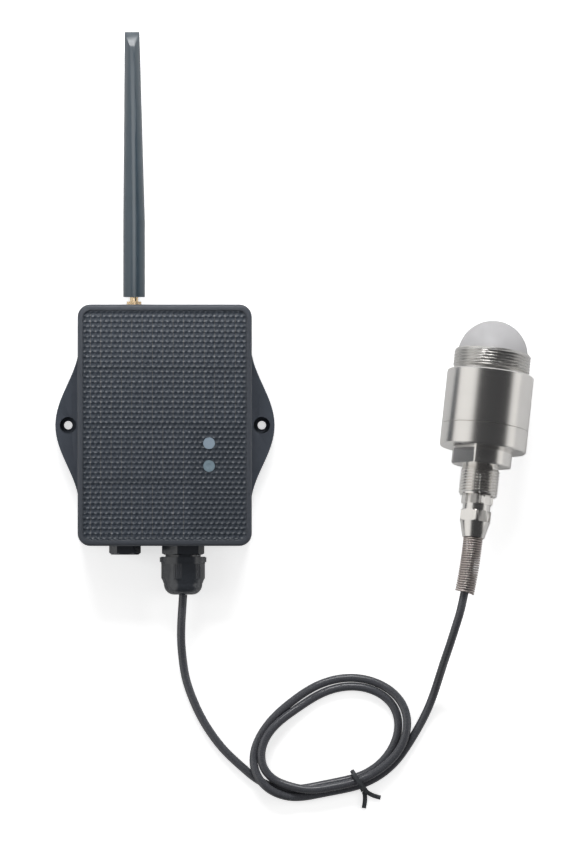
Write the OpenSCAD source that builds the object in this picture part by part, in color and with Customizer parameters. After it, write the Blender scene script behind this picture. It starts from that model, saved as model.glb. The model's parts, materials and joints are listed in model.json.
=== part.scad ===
// Radar level transmitter. A solar-fed radio enclosure with a whip antenna feeds a stainless
// radar sensor through a short cable, which is wound in a loop and tied. Millimetres, +Z up.
// The enclosure lies on its back. The origin is the centre of its back face, and the antenna
// points along +Y. The sensor lies beside it, with its lens towards +Y.

/* [Enclosure] */
// Width of the front cover, along X
box_w = 88; // [84:1:110]
// Length of the front cover, along Y
box_l = 122; // [118:1:150]
// Corner radius of the front cover, seen from the front
corner_r = 6.3; // [5.5:0.1:9]
// Height of the back shell
shell_h = 24; // [24:0.5:32]
// Height of the front cover above the back shell
cover_h = 10; // [9:0.5:16]
// Wall thickness of both mouldings
wall = 2.5; // [2.2:0.1:3]
// Overhang of the front cover past the back shell
cover_lip = 0.5; // [0.2:0.1:1]
// Radius of the cover's front edge
cover_edge = 1.6; // [0.8:0.1:2]
// Chamfer round the back face
back_chamfer = 1.2; // [0.5:0.1:2]
// Depth of the tongue that the cover sinks into the back shell
tongue_h = 2.2; // [1.5:0.1:4]
// Width of the cover gasket
gasket_w = 1.1; // [0.8:0.1:1.2]
// Depth of the gasket groove in the rim of the back shell
gasket_h = 1; // [0.6:0.1:1.6]

/* [Fixing ears] */
// Distance between the two fixing holes
ear_spacing = 98; // [96:0.5:120]
// Diameter of each fixing hole
ear_hole_d = 4.2; // [3.2:0.1:5.2]
// Diameter of the counterbore over each fixing hole
ear_sink_d = 8.3; // [7:0.1:9]
// Depth of that counterbore
ear_sink_h = 6; // [3:0.5:7]
// Thickness of an ear
ear_h = 9; // [8:0.5:12]
// Length of wall over which an ear swells and fades
ear_run = 82; // [60:1:90]
// Overall width across both ears
ear_span = 111; // [110.8:0.2:134]

/* [Solar panel] */
// Width of the frame that the cover shows round the panel
frame_w = 2.7; // [2.2:0.1:4]
// Corner radius of the panel
panel_r = 4; // [3:0.1:6]
// Thickness of the panel's circuit board
panel_board_h = 1; // [0.8:0.1:1.6]
// Thickness of the clear embossed film over the cells
panel_film_h = 1; // [0.8:0.1:1.4]
// How far the film lies below the cover's front edge
panel_sink = 0.4; // [0.2:0.1:1]
// Thickness of a solar cell
cell_h = 0.3; // [0.2:0.05:0.4]
// Gap between neighbouring rows of cells
cell_gap = 2.4; // [1:0.1:4]

/* [Controls] */
// Distance of the indicator and the button right of the middle
control_x = 22.4; // [18:0.2:26]
// Height of the indicator along Y
lens_y = -9.1; // [-12:0.1:0]
// Height of the button along Y
button_y = -20.6; // [-28:0.1:-18]
// Diameter of the button and of the indicator lens
control_d = 5.9; // [5:0.1:8]
// Diameter of the stems under them
stem_d = 4; // [3.6:0.1:4.4]
// Travel of the button
button_travel = 0.5; // [0.2:0.1:0.7]

/* [Ports] */
// Height of the port axes above the back face
port_z = 12.4; // [12.2:0.1:12.6]
// Distance of the cable gland right of the middle
gland_x = 9.2; // [8:0.1:14]
// Distance of the blanking plug left of the middle
plug_x = 20.2; // [18:0.1:24]
// Distance of the antenna left of the middle
antenna_x = 15.6; // [12:0.1:20]

/* [Cable gland] */
// Outside diameter of the gland's thread through the wall
gland_thread_d = 16; // [14:0.5:16]
// Width across flats of the gland's flange
gland_flange_af = 19.2; // [18.5:0.1:20]
// Thickness of the gland's flange
gland_flange_h = 5; // [4:0.1:6]
// Diameter of the thread that the cap turns on
gland_cap_thread_d = 17.9; // [17:0.1:18.4]
// Diameter of the cap's rim
gland_rim_d = 23.6; // [22.5:0.1:24]
// Width of the cap's gripping body
gland_grip_d = 22.3; // [21.6:0.1:22.4]
// Length of the cap
gland_cap_h = 19.2; // [18.6:0.1:22]
// Gap between the flange and the cap
gland_gap = 1; // [0.6:0.1:2]

/* [Blanking plug] */
// Width across flats of the plug's head
plug_af = 13.9; // [12.5:0.1:15]
// Thickness of the plug's head
plug_head_h = 5; // [4:0.1:6]
// Diameter of the plug's thread
plug_thread_d = 12; // [10:0.5:12]

/* [Antenna] */
// Length of the moulded whip
whip_l = 134.2; // [80:0.2:160]
// Diameter of the whip at its base
whip_base_d = 11.1; // [10:0.1:13]
// Length of the whip's round part, below its taper
whip_round_l = 38; // [20:1:60]
// Width of the whip at its tip
whip_tip_w = 7.3; // [6:0.1:9]
// How far the whip's tip leans to the left
whip_lean = 1; // [0:0.1:2]
// Width of the flat that runs up the front of the whip
whip_flat_w = 2.3; // [1.6:0.1:3]
// Length of the bevel at the whip's tip
whip_bevel_l = 6.8; // [4:0.1:10]
// Diameter of the brass neck below the whip
neck_d = 4.4; // [3.8:0.1:5]
// Length of the neck that shows
neck_l = 2.2; // [1.5:0.1:4]
// Diameter of the coupling nut
coupling_d = 7.5; // [7.2:0.1:9]
// Length of the coupling nut
coupling_l = 6; // [5.5:0.1:8]
// How far the coupling nut stands out of the wall
coupling_out = 2.1; // [1:0.1:2.4]
// Diameter of the connector's thread
coax_thread_d = 6.35; // [5.5:0.05:6.5]

/* [Electronics] */
// Space between the main circuit board and the side walls
board_side_gap = 7; // [6.5:0.5:9]
// Space between the main circuit board and the end walls
board_end_gap = 13; // [12:0.5:14]
// Thickness of the circuit boards
board_h = 1.6; // [1:0.1:2]
// Height of the posts that carry the main board
post_h = 3.5; // [3:0.1:4]
// Diameter of the battery cell
cell_d = 18.3; // [14:0.1:18.5]
// Length of the battery cell
cell_l = 65; // [50:1:66]

/* [Sensor head] */
// Diameter of the sensor's body
head_d = 44; // [42:0.5:60]
// Length of the front body, behind the process thread
front_l = 27.8; // [25:0.1:40]
// Length of the rear body, behind the seam
rear_l = 11.3; // [10:0.1:16]
// Outside diameter of the process thread
process_d = 39; // [38:0.1:41]
// Length of the process thread
process_l = 11; // [10:0.1:16]
// Radius of the lens dome
dome_r = 17.7; // [16.5:0.1:17.8]
// How far the dome's centre lies behind the thread's front
dome_sink = 1.8; // [0.5:0.1:3]
// Diameter of the spanner collar
collar_d = 30.3; // [28:0.1:34]
// Length of the spanner collar
collar_l = 8.4; // [6:0.1:12]
// Width across the collar's two flats
collar_af = 24; // [22:0.1:27]
// Turn of the collar's flats about the sensor's axis
collar_turn = 38; // [0:1:90]
// Outside diameter of the cable-side thread
neck_thread_d = 20; // [18:0.5:22]
// Length of the cable-side neck
neck_thread_l = 15.4; // [13:0.1:20]
// Angle by which the sensor's axis turns right of +Y
head_yaw = 6.2; // [0:0.1:15]
// Angle by which the lens end dips
head_tilt = 8; // [0:0.5:10]

/* [Sensor gland] */
// Width across flats of the gland's body
sensor_hex_af = 14.5; // [13.8:0.1:16]
// Length of that hexagon
sensor_hex_l = 4.5; // [3.5:0.1:6]
// Width across flats of the gland's cap
sensor_cap_af = 15.4; // [14.6:0.1:17]
// Length of the cap's hexagon
sensor_cap_l = 5.7; // [4.5:0.1:8]
// Gap between the two hexagons
sensor_gap = 3.2; // [2:0.1:5]
// Length of the cap's taper
taper_l = 8; // [6:0.1:12]
// Diameter at the small end of the taper
taper_d = 11.4; // [11:0.1:13]
// Outside diameter of the strain-relief spring
spring_d = 10.1; // [9:0.1:10.4]
// Length of spring that shows
spring_l = 28; // [20:0.5:40]
// Wire diameter of the spring
spring_wire = 1; // [0.8:0.1:1.2]
// Pitch of the spring
spring_pitch = 1.2; // [1.15:0.05:1.5]
// Angle through which the spring bends
spring_bend = 11; // [4:1:20]

/* [Cable] */
// Diameter of the cable
cable_d = 4.2; // [3.8:0.1:4.6]
// Longer half axis of the tied loop, along its middle
loop_long = 39; // [34:0.5:46]
// Shorter half axis of the tied loop
loop_short = 24.7; // [20:0.1:30]
// Tilt of the loop's long axis from +X
loop_tilt = 23; // [0:1:40]

/* [Hidden] */

$fn = 48;
eps = 0.01;             // overshoot of a cutting tool
run_fit = 0.05;         // radial clearance of pieces that slide or turn
seat_fit = 0.1;         // clearance of pieces that are seated and stay put
free_fit = 0.4;         // clearance of pieces that only pass

// Enclosure
box_h = shell_h + cover_h;
shell_w = box_w - 2 * cover_lip;
shell_l = box_l - 2 * cover_lip;
shell_r = corner_r - cover_lip;
inner_r = max(shell_r - wall, 0.5);
tongue_w = 1.2;
recess_h = panel_board_h + panel_film_h + panel_sink;
plate_h = 2.2;                          // cover under the panel
recess_z = box_h - recess_h;            // seat of the panel
plate_z = recess_z - plate_h;           // underside of the cover's plate
panel_w = box_w - 2 * frame_w;
panel_l = box_l - 2 * frame_w - 0.6;

// Cover screws, put in from the back
screw_d = 3;
screw_head_d = 5.6;
screw_head_h = 2.2;
screw_sink_d = 6.4;
screw_sink_h = 3.2;
tube_d = 8;
boss_d = tube_d - 2.4;                  // cover's boss, which clears the shell's wall
screw_x = shell_w / 2 - wall - tube_d / 2 + 0.5;
screw_y = shell_l / 2 - wall - tube_d / 2 + 0.5;
screw_top = plate_z - 0.8;
boss_z = shell_h - tongue_h;            // where the cover's bosses meet the shell's tubes

// Main board
board_w = shell_w - 2 * wall - 2 * board_side_gap;
board_l = shell_l - 2 * wall - 2 * board_end_gap;
board_z = wall + post_h;
board_top = board_z + board_h;
post_d = 6;
post_screw_d = 2;
post_x = board_w / 2 - 4;
post_y = board_l / 2 - 4;
holder_wall = 1.5;
holder_w = cell_d + 2 * holder_wall;
holder_l = cell_l + 2 * holder_wall + 2;
holder_h = cell_d / 2 + 1;
cell_z = board_top + holder_wall + cell_d / 2;
holder_gap = 1.2;                       // space beside the battery holder
switch_s = 6;
battery_x = control_x - switch_s / 2 - holder_gap - holder_w / 2;
switch_h = 3.6;
plunger_d = 3.2;
plunger_h = button_travel + 1;          // plunger above its switch
led_d = 3;
led_h = 4.5;
radio_w = 22;
radio_x = battery_x - holder_w / 2 - holder_gap - radio_w / 2;
radio_l = 13;
radio_h = 3.4;
coax_socket_h = 2.2;
coax_socket_in = 2;                     // from the module's edge to its coax socket
radio_y = board_l / 2 - radio_l / 2 - 2;
block_w = 17;
block_l = 8;
block_h = 9;
block_y = -board_l / 2 + block_l / 2 + 3;
battery_y = block_y + block_l / 2 + holder_gap + holder_l / 2;
wire_d = 1.2;
wires = 4;
wire_pitch = block_w / wires;
wire_z = max(port_z, board_top + 2);

// Button and indicator
control_hole_d = control_d + 0.3;
control_top = box_h - panel_sink + 0.1;
control_head_h = 1.2;
stem_hole_d = stem_d + 2 * run_fit;
switch_top = board_top + switch_h;

// Gland and plug, along their own axes, with 0 on the outer face of the shell's wall
nut_h = 4;
nut_flats = 18;
flange_turn = 45;                       // how the gland's hexagons stand once screwed in
jacket_y = -shell_l / 2 + wall + nut_h + 1.5;   // where the cable's jacket ends in the box
o_ring_d = 1.4;
gland_mouth = gland_flange_h + 11;      // end of the gland's body
gland_cap_z = gland_flange_h + gland_gap;
gland_end = gland_cap_z + gland_cap_h;
gland_bore_d = 10.6;
gland_exit_d = cable_d + 2 * free_fit;
gland_inner_d = 6.4;
seal_z = gland_flange_h + 3;
seal_end = gland_mouth + 4.5;
claw_z = gland_mouth + seat_fit;
claw_l = 4.6;

// Antenna, along its own axis, with 0 on the outer face of the shell's wall
pocket_d = 10.4;
pocket_h = coupling_l - coupling_out + 2.1;
web_z = -pocket_h - wall;               // inner face of the wall under the pocket
barrel_top = -0.6;
coax_flange_h = 2;
coax_flange_af = 9;
coax_nut_h = 1.5;
coax_nut_af = 8;
coupling_z = coupling_out - coupling_l;
coupling_bore_d = coax_thread_d + 2 * run_fit;
coupling_floor = 0.5;                   // inner end of the coupling nut's bore
whip_z = coupling_out + neck_l;
whip_socket_h = 9;
whip_taper = 0.96;                      // how far the round section turns into the faceted one
contact_d = 0.9;
coax_d = 1.4;
coax_bend_r = 1.4;
coax_start = [-antenna_x, shell_l / 2 + web_z - coax_flange_h - 4, port_z];
coax_end = [radio_x, radio_y + radio_l / 2 - coax_socket_in, board_top + coax_socket_h];
radiator_d = 1.6;

// Sensor head, along its own axis, with 0 on the shoulder behind the process thread
head_r = head_d / 2;
head_chamfer = 0.6;
head_at = [164.8, 26.1, head_r * cos(head_tilt) - head_chamfer * sin(head_tilt)];
thread_chamfer = 0.9;
relief_l = 1.2;
relief_d = 0.9;                         // depth of the thread reliefs
dome_z = process_l - dome_sink;
skirt_r = sqrt(dome_r * dome_r - dome_sink * dome_sink);
skirt_z = 4;
lens_ring_d = 2;
spigot_d = head_d - 6;
spigot_l = 7;
chamber_d = 2 * skirt_r - 3;
seam_z = -front_l;
rear_z = seam_z - rear_l;
collar_z = rear_z - collar_l;
neck_z = collar_z - neck_thread_l;      // end of the cable-side thread
neck_relief_l = 2.5;
gland_screw_d = 12;
gland_screw_l = 9;
wire_bore_d = 6;
disc_d = chamber_d - 2;
disc_z = -16;
feed_z = disc_z + board_h;
hex_z = neck_z - sensor_hex_l;
cap_z = hex_z - sensor_gap;
taper_z = cap_z - sensor_cap_l;
spring_z = taper_z - taper_l;
spring_seat = 3;                        // depth of the spring's seat in the taper
sensor_stub_d = sensor_hex_af - 0.4;
sensor_seal_d = 9;
sensor_seal_l = 8;
bend_dir = [-cos(60), sin(60)];         // the spring bends left and down
bend_r = spring_l / (spring_bend * PI / 180);

// Cable route. The loop's strands follow an ellipse with a slight three-lobed wave.
loop_at = [84.2, -158.2];
loop_wave = 1.3;
loop_wave_at = 87;
bundle_w = 2.3 * cable_d;
bundle_h = 2 * cable_d;
loop_rings = 48;
cable_sides = 10;
lead_route = [
    [9.2, -85.7, 12.4], [8.8, -92, 12.3], [8.3, -100, 11], [8.2, -109, 8],
    [8.9, -118, 4.8], [10.5, -128, 2.6], [13.8, -138, 2.1], [18.4, -148, 2.1],
    [24, -157, 2.1], [30.8, -165.6, 2.1], [38.2, -172.4, 2.1], [46.4, -177.6, 2.1]
];
tail_route = [
    [122, -163, 2.1], [125.4, -158, 2.1], [129, -152, 2.1], [132.8, -144.6, 2.6],
    [135.9, -136.4, 5.4], [138.6, -128, 11], [141.2, -119.6, 18.4], [144, -111.2, 25.6],
    [146.7, -102.6, 31.4], [149.3, -94, 34.4], [151.4, -84.5, 35]
];
tie_angle = 302;
tie_d = 1.1;

// ---- shapes used more than once ----

module rounded_rect(w, l, r) {
    square([w - 2 * r, l], center = true);
    square([w, l - 2 * r], center = true);
    for (x = [-1, 1], y = [-1, 1])
        translate([x * (w / 2 - r), y * (l / 2 - r)]) circle(r);
}

module slab(w, l, r, h) {
    linear_extrude(h) rounded_rect(w, l, r);
}

// A slab whose top edge is rounded, in a few steps.
module soft_slab(w, l, r, h, edge) {
    hull() for (a = [0 : 22.5 : 90]) {
        inset = edge * (1 - cos(a));
        slab(w - 2 * inset, l - 2 * inset, r - inset, h - edge * (1 - sin(a)), $fn = 32);
    }
}

module hex(af, h) {
    cylinder(d = af / cos(30), h = h, $fn = 6);
}

// A hexagon whose corners are turned off at its far end.
module chamfered_hex(af, h, chamfer) {
    intersection() {
        hex(af, h);
        union() {
            cylinder(d = af / cos(30) + eps, h = h - chamfer);
            translate([0, 0, h - chamfer - eps])
                cylinder(d1 = af / cos(30) + eps, d2 = af - 0.2, h = chamfer + eps);
        }
    }
}

module ring(d, hole, h) {
    difference() {
        cylinder(d = d, h = h);
        translate([0, 0, -eps]) cylinder(d = hole, h = h + 2 * eps);
    }
}

module torus(d, thickness) {
    rotate_extrude() translate([(d - thickness) / 2, 0]) circle(d = thickness);
}

module at_corners(x, y) {
    for (sx = [-1, 1], sy = [-1, 1]) translate([sx * x, sy * y, 0]) children();
}

// The lower end wall: +Z points out of the enclosure, along -Y.
module port(x) {
    translate([x, -shell_l / 2, port_z]) rotate([90, 0, 0]) children();
}

// The upper end wall: +Z points along the antenna, and -Y points up.
module antenna_port() {
    translate([-antenna_x, shell_l / 2, port_z]) rotate([-90, 0, 0]) children();
}

// The sensor: +Z points out of the lens, and -Y points up.
module sensor() {
    translate(head_at) rotate([0, 0, -head_yaw]) rotate([-90 - head_tilt, 0, 0]) children();
}

// ---- swept tubes ----

function unit(v) = v / norm(v);
function tangent(path, i) =
    unit(path[min(i + 1, len(path) - 1)] - path[max(i - 1, 0)]);
function side_of(t, up) = unit(cross(t, up));

// Rings of points round each point of a path, and the faces that join them.
function sweep_points(path, r, n, up) = [
    for (i = [0 : len(path) - 1])
        let (t = tangent(path, i), s = side_of(t, up), u = cross(s, t))
        for (k = [0 : n - 1]) path[i] + r * (cos(360 * k / n) * s - sin(360 * k / n) * u)
];
function sweep_faces(rings, n) = concat(
    [[for (k = [0 : n - 1]) k]],
    [[for (k = [n - 1 : -1 : 0]) (rings - 1) * n + k]],
    [for (i = [0 : rings - 2], k = [0 : n - 1]) each [
        [i * n + k, (i + 1) * n + k, i * n + (k + 1) % n],
        [i * n + (k + 1) % n, (i + 1) * n + k, (i + 1) * n + (k + 1) % n]
    ]]
);

module tube(path, d, n = 8, up = [0, 0, 1]) {
    polyhedron(sweep_points(path, d / 2, n, up), sweep_faces(len(path), n), convexity = 8);
}

// A smooth path through chosen points (Catmull-Rom, a few steps a span).
function blend(a, b, c, d, f) =
    0.5 * (2 * b + (c - a) * f + (2 * a - 5 * b + 4 * c - d) * f * f
        + (3 * b - a - 3 * c + d) * f * f * f);
function smooth_path(points, steps) = concat(
    [for (i = [0 : len(points) - 2], j = [0 : steps - 1])
        blend(points[max(i - 1, 0)], points[i], points[i + 1],
            points[min(i + 2, len(points) - 1)], j / steps)],
    [points[len(points) - 1]]
);

// ---- enclosure ----

// One ear, seen from the front: it swells out of the wall and fades like a bell.
module ear_outline(side) {
    reach = ear_span / 2 - shell_w / 2;
    steps = 32;
    polygon(concat(
        [[side * (shell_w / 2 - wall), -ear_run / 2]],
        [for (i = [0 : steps])
            let (y = ear_run * (i / steps - 0.5))
            [side * (shell_w / 2 + reach * (1 + cos(360 * y / ear_run)) / 2), y]],
        [[side * (shell_w / 2 - wall), ear_run / 2]]
    ));
}

module back_shell() color("#3c4046") {
    difference() {
        union() {
            translate([0, 0, shell_h]) mirror([0, 0, 1])
                soft_slab(shell_w, shell_l, shell_r, shell_h, back_chamfer);
            for (side = [-1, 1]) linear_extrude(ear_h) ear_outline(side);
        }
        difference() {
            translate([0, 0, wall])
                slab(shell_w - 2 * wall, shell_l - 2 * wall, inner_r, shell_h);
            at_corners(screw_x, screw_y) cylinder(d = tube_d, h = boss_z - seat_fit);
            at_corners(post_x, post_y) cylinder(d = post_d, h = board_z);
            antenna_port() translate([0, 0, web_z]) cylinder(d = pocket_d + 4, h = -web_z);
        }
        translate([0, 0, shell_h - gasket_h]) gasket_ring(gasket_h + eps);
        at_corners(screw_x, screw_y) {
            translate([0, 0, -eps]) cylinder(d = screw_sink_d, h = screw_sink_h + eps);
            cylinder(d = screw_d + 2 * seat_fit, h = shell_h);
        }
        at_corners(post_x, post_y) translate([0, 0, wall])
            cylinder(d = post_screw_d + 2 * seat_fit, h = board_z);
        for (side = [-1, 1]) translate([side * ear_spacing / 2, 0, 0]) {
            translate([0, 0, -eps]) cylinder(d = ear_hole_d, h = ear_h + 2 * eps);
            translate([0, 0, ear_h - ear_sink_h]) cylinder(d = ear_sink_d, h = ear_h);
        }
        port(gland_x) translate([0, 0, -2 * wall])
            cylinder(d = gland_thread_d + 2 * seat_fit, h = 3 * wall);
        port(-plug_x) translate([0, 0, -2 * wall])
            cylinder(d = plug_thread_d + 2 * seat_fit, h = 3 * wall);
        antenna_port() {
            translate([0, 0, -pocket_h]) cylinder(d = pocket_d, h = pocket_h + 1);
            translate([0, 0, web_z - 1])
                cylinder(d = coax_thread_d + 2 * seat_fit, h = wall + 2);
        }
    }
}

module gasket_ring(h, play = 0) {
    inset = (wall - gasket_w) / 2 + play;
    linear_extrude(h) difference() {
        rounded_rect(shell_w - 2 * inset, shell_l - 2 * inset, shell_r - inset);
        rounded_rect(shell_w - 2 * (wall - inset), shell_l - 2 * (wall - inset),
            shell_r - wall + inset);
    }
}

module cover_gasket() color("#d0502c") {
    translate([0, 0, shell_h - gasket_h]) gasket_ring(gasket_h, 0.05);
}

// The space inside the cover, from below the tongue up to the plate.
module cover_space() {
    inset = wall + tongue_w;
    translate([0, 0, boss_z - 1]) slab(shell_w - 2 * inset, shell_l - 2 * inset,
        max(shell_r - inset, 0.5), plate_z - boss_z + 1);
}

module front_cover() color("#474b52") {
    tongue = wall + seat_fit;
    difference() {
        union() {
            difference() {
                union() {
                    translate([0, 0, shell_h])
                        soft_slab(box_w, box_l, corner_r, cover_h, cover_edge);
                    translate([0, 0, boss_z]) slab(shell_w - 2 * tongue,
                        shell_l - 2 * tongue, inner_r - seat_fit, tongue_h + 1);
                }
                cover_space();
            }
            at_corners(screw_x, screw_y) translate([0, 0, boss_z])
                cylinder(d = boss_d, h = plate_z - boss_z + eps);
        }
        translate([0, 0, recess_z])
            slab(panel_w + 2 * seat_fit, panel_l + 2 * seat_fit, panel_r, recess_h + 1);
        at_corners(screw_x, screw_y) translate([0, 0, boss_z - 1])
            cylinder(d = screw_d + 2 * seat_fit, h = screw_top + 1.4 - boss_z);
        for (y = [lens_y, button_y]) translate([control_x, y, plate_z - 1])
            cylinder(d = stem_hole_d, h = plate_h + 2);
    }
}

module cover_screws() color("#b9bcc0") {
    at_corners(screw_x, screw_y) difference() {
        union() {
            translate([0, 0, screw_sink_h - screw_head_h])
                cylinder(d = screw_head_d, h = screw_head_h);
            cylinder_from(screw_sink_h - eps, screw_top, screw_d);
        }
        translate([0, 0, screw_sink_h - screw_head_h - eps]) hex(2.5, 1.3);
    }
}

module cylinder_from(z0, z1, d) {
    translate([0, 0, z0]) cylinder(d = d, h = z1 - z0);
}

// ---- solar panel ----

module control_holes(z, h) {
    for (y = [lens_y, button_y]) translate([control_x, y, z - eps])
        cylinder(d = control_hole_d, h = h + 2 * eps);
}

// Rows of cells: the two lower rows stop short of the indicator and the button.
module cell_rows(h, grow = 0) {
    edge = 2;
    full = panel_w - 2 * edge;
    row = (panel_l - 2 * edge - 3 * cell_gap) / 4;
    part = panel_w / 2 + control_x - 11 - edge;
    for (i = [0 : 3]) {
        w = i < 2 ? part : full;
        y = -panel_l / 2 + edge + row / 2 + i * (row + cell_gap);
        translate([-panel_w / 2 + edge - grow, y - row / 2 - grow, 0])
            cube([w + 2 * grow, row + 2 * grow, h]);
    }
}

module solar_board() color("#20242a") {
    difference() {
        translate([0, 0, recess_z]) slab(panel_w, panel_l, panel_r, panel_board_h);
        control_holes(recess_z, panel_board_h);
    }
}

module solar_cells() color("#26303f") {
    translate([0, 0, recess_z + panel_board_h]) cell_rows(cell_h);
}

module solar_film() color("#3d4652") {
    z = recess_z + panel_board_h;
    difference() {
        translate([0, 0, z]) slab(panel_w, panel_l, panel_r, panel_film_h);
        translate([0, 0, z - eps]) cell_rows(cell_h + 0.05 + eps, 0.05);
        control_holes(z, panel_film_h);
    }
}

// ---- indicator and button ----

module indicator_lens() color("#9fb2c0") {
    translate([control_x, lens_y, 0]) {
        cylinder_from(recess_z + seat_fit, control_top, control_d);
        cylinder_from(board_top + led_h + 0.6, recess_z + seat_fit + eps, stem_d - 0.1);
    }
}

module push_button() color("#8da3b4") {
    translate([control_x, button_y, 0]) difference() {
        union() {
            cylinder_from(control_top - control_head_h, control_top, control_d);
            cylinder_from(switch_top + plunger_h, control_top - control_head_h + eps, stem_d);
        }
        translate([0, 0, control_top + 5.6]) sphere(5.8);
    }
}

module switch_plunger() color("#202020") {
    translate([control_x, button_y, 0])
        cylinder_from(switch_top - switch_h + 1.2, switch_top + plunger_h, plunger_d);
}

module switch_body() color("#9a9da0") {
    translate([control_x, button_y, board_top]) difference() {
        translate([-switch_s / 2, -switch_s / 2, 0]) cube([switch_s, switch_s, switch_h]);
        translate([0, 0, 0.5]) cylinder(d = plunger_d + 2 * run_fit, h = switch_h);
    }
}

module status_led() color("#d8e4d0") {
    translate([control_x, lens_y, board_top]) {
        cylinder(d = led_d + 0.8, h = 1);
        cylinder(d = led_d, h = led_h - led_d / 2);
        translate([0, 0, led_h - led_d / 2]) sphere(d = led_d);
    }
}

// ---- electronics ----

module main_board() color("#1f5a38") {
    translate([0, 0, board_z]) difference() {
        slab(board_w, board_l, 2, board_h);
        at_corners(post_x, post_y) translate([0, 0, -eps])
            cylinder(d = post_screw_d + 2 * seat_fit, h = board_h + 2 * eps);
    }
}

module board_screws() color("#b9bcc0") {
    at_corners(post_x, post_y) {
        cylinder_from(board_top, board_top + 1.4, 3.8);
        cylinder_from(wall + 0.6, board_top + eps, post_screw_d);
    }
}

module battery_holder() color("#26282b") {
    translate([battery_x, battery_y, board_top]) difference() {
        translate([-holder_w / 2, -holder_l / 2, 0]) cube([holder_w, holder_l, holder_h]);
        translate([0, (cell_l + 2) / 2, cell_z - board_top])
            rotate([90, 0, 0]) cylinder(d = cell_d + 2 * seat_fit, h = cell_l + 2);
    }
}

module battery_cell() color("#3f6f4f") {
    translate([battery_x, battery_y + cell_l / 2 - 1, cell_z]) rotate([90, 0, 0]) {
        cylinder(d = cell_d, h = cell_l - 1);
        translate([0, 0, -1.2]) cylinder(d = 6, h = 1.4);
    }
}

module radio_module() color("#8f9599") {
    translate([radio_x, radio_y, board_top]) {
        translate([-radio_w / 2, -radio_l / 2, 0]) cube([radio_w, radio_l, 0.8]);
        translate([-radio_w / 2 + 1, -radio_l / 2 + 1, 0])
            cube([radio_w - 2, radio_l - 5, radio_h]);
        translate([0, radio_l / 2 - coax_socket_in, 0]) cylinder(d = 3, h = coax_socket_h);
    }
}

module terminal_block() color("#2f7d4a") {
    translate([gland_x, block_y, board_top]) difference() {
        translate([-block_w / 2, -block_l / 2, 0]) cube([block_w, block_l, block_h]);
        for (i = [0 : wires - 1]) translate([(i - (wires - 1) / 2) * wire_pitch, 0, 0]) {
            translate([0, 0, block_h - 2]) cylinder(d = 2.8, h = 3);
            translate([0, -eps - block_l / 2, wire_z - board_top]) rotate([-90, 0, 0])
                cylinder(d = wire_d + 2 * seat_fit, h = 4);
        }
    }
}

module lead_wires() color("#b04030") {
    far = block_y - block_l / 2 + 2.5;
    ring_r = cable_d / 2 - wire_d / 2 - 0.2;
    for (i = [0 : wires - 1]) {
        x = (i - (wires - 1) / 2) * wire_pitch;
        a = [180, 270, 90, 0][i];
        start = [gland_x + ring_r * cos(a), jacket_y, port_z + ring_r * sin(a)];
        spread = smooth_path([start + [0, 1, 0], start + [0, 2.5, 0],
            [gland_x + x, far - 6, wire_z], [gland_x + x, far - 4, wire_z]], 3);
        tube(concat([start], spread, [[gland_x + x, far, wire_z]]), wire_d, 6);
    }
}

// ---- antenna ----

module antenna_connector() color("#c9a54e") {
    antenna_port() difference() {
        union() {
            cylinder_from(web_z - coax_flange_h - 4, barrel_top, coax_thread_d);
            translate([0, 0, web_z - coax_flange_h - 0.3]) hex(coax_flange_af, coax_flange_h);
        }
        translate([0, 0, barrel_top - 4]) cylinder(d = contact_d + 2 * run_fit, h = 5);
    }
}

module antenna_o_ring() color("#1c1c1c") {
    antenna_port() translate([0, 0, web_z - 0.3])
        ring(coax_flange_af - 0.4, coax_thread_d + seat_fit, 0.3);
}

module antenna_lock_nut() color("#c9a54e") {
    antenna_port() translate([0, 0, -pocket_h]) difference() {
        hex(coax_nut_af, coax_nut_h);
        translate([0, 0, -eps])
            cylinder(d = coax_thread_d + seat_fit, h = coax_nut_h + 2 * eps);
    }
}

module antenna_coax() color("#1c1c1c") {
    turn = [for (a = [0 : 22.5 : 90]) [coax_end.x, coax_end.y + coax_bend_r * (1 - sin(a)),
        coax_start.z - coax_bend_r * (1 - cos(a))]];
    tube(concat([coax_start, coax_start - [0, 1, 0]], turn, [coax_end]), coax_d, 8, [1, 0, 0]);
}

module antenna_seal() color("#2a2a2a") {
    antenna_port() translate([0, 0, barrel_top])
        ring(coax_thread_d - 0.3, contact_d + 1, coupling_floor - barrel_top - run_fit);
}

module antenna_coupling() color("#c9a54e") {
    knurls = 24;
    antenna_port() {
        difference() {
            translate([0, 0, coupling_z]) linear_extrude(coupling_l) difference() {
                circle(d = coupling_d);
                for (i = [0 : knurls - 1]) rotate(i * 360 / knurls)
                    translate([coupling_d / 2 + 0.12, 0]) circle(0.3, $fn = 16);
            }
            translate([0, 0, coupling_z - eps])
                cylinder(d = coupling_bore_d, h = coupling_floor - coupling_z + eps);
        }
        cylinder_from(coupling_out - eps, whip_z + whip_socket_h, neck_d);
        cylinder_from(barrel_top - 2.4, coupling_floor + eps, contact_d);
    }
}

// Six corners of the whip's section at its tip, from the right-hand corner round.
function tip_corners(w) = [
    [w / 2, 0.08 * w], [whip_flat_w / 2, -0.46 * w], [-whip_flat_w / 2, -0.46 * w],
    [-w / 2, 0.08 * w], [-0.32 * w, 0.42 * w], [0.32 * w, 0.42 * w]
];
// The matching points on a round section.
function round_corner_angle(i) = [8, -72, -108, -188, -236, -304, -352][i];
function whip_section(f, per_side) = [
    for (i = [0 : 5], j = [0 : per_side - 1])
        let (corners = tip_corners(whip_tip_w), g = j / per_side,
            flat = corners[i] * (1 - g) + corners[(i + 1) % 6] * g,
            a = round_corner_angle(i) * (1 - g) + round_corner_angle(i + 1) * g)
        whip_base_d / 2 * [cos(a), sin(a)] * (1 - f) + flat * f
];

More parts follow.
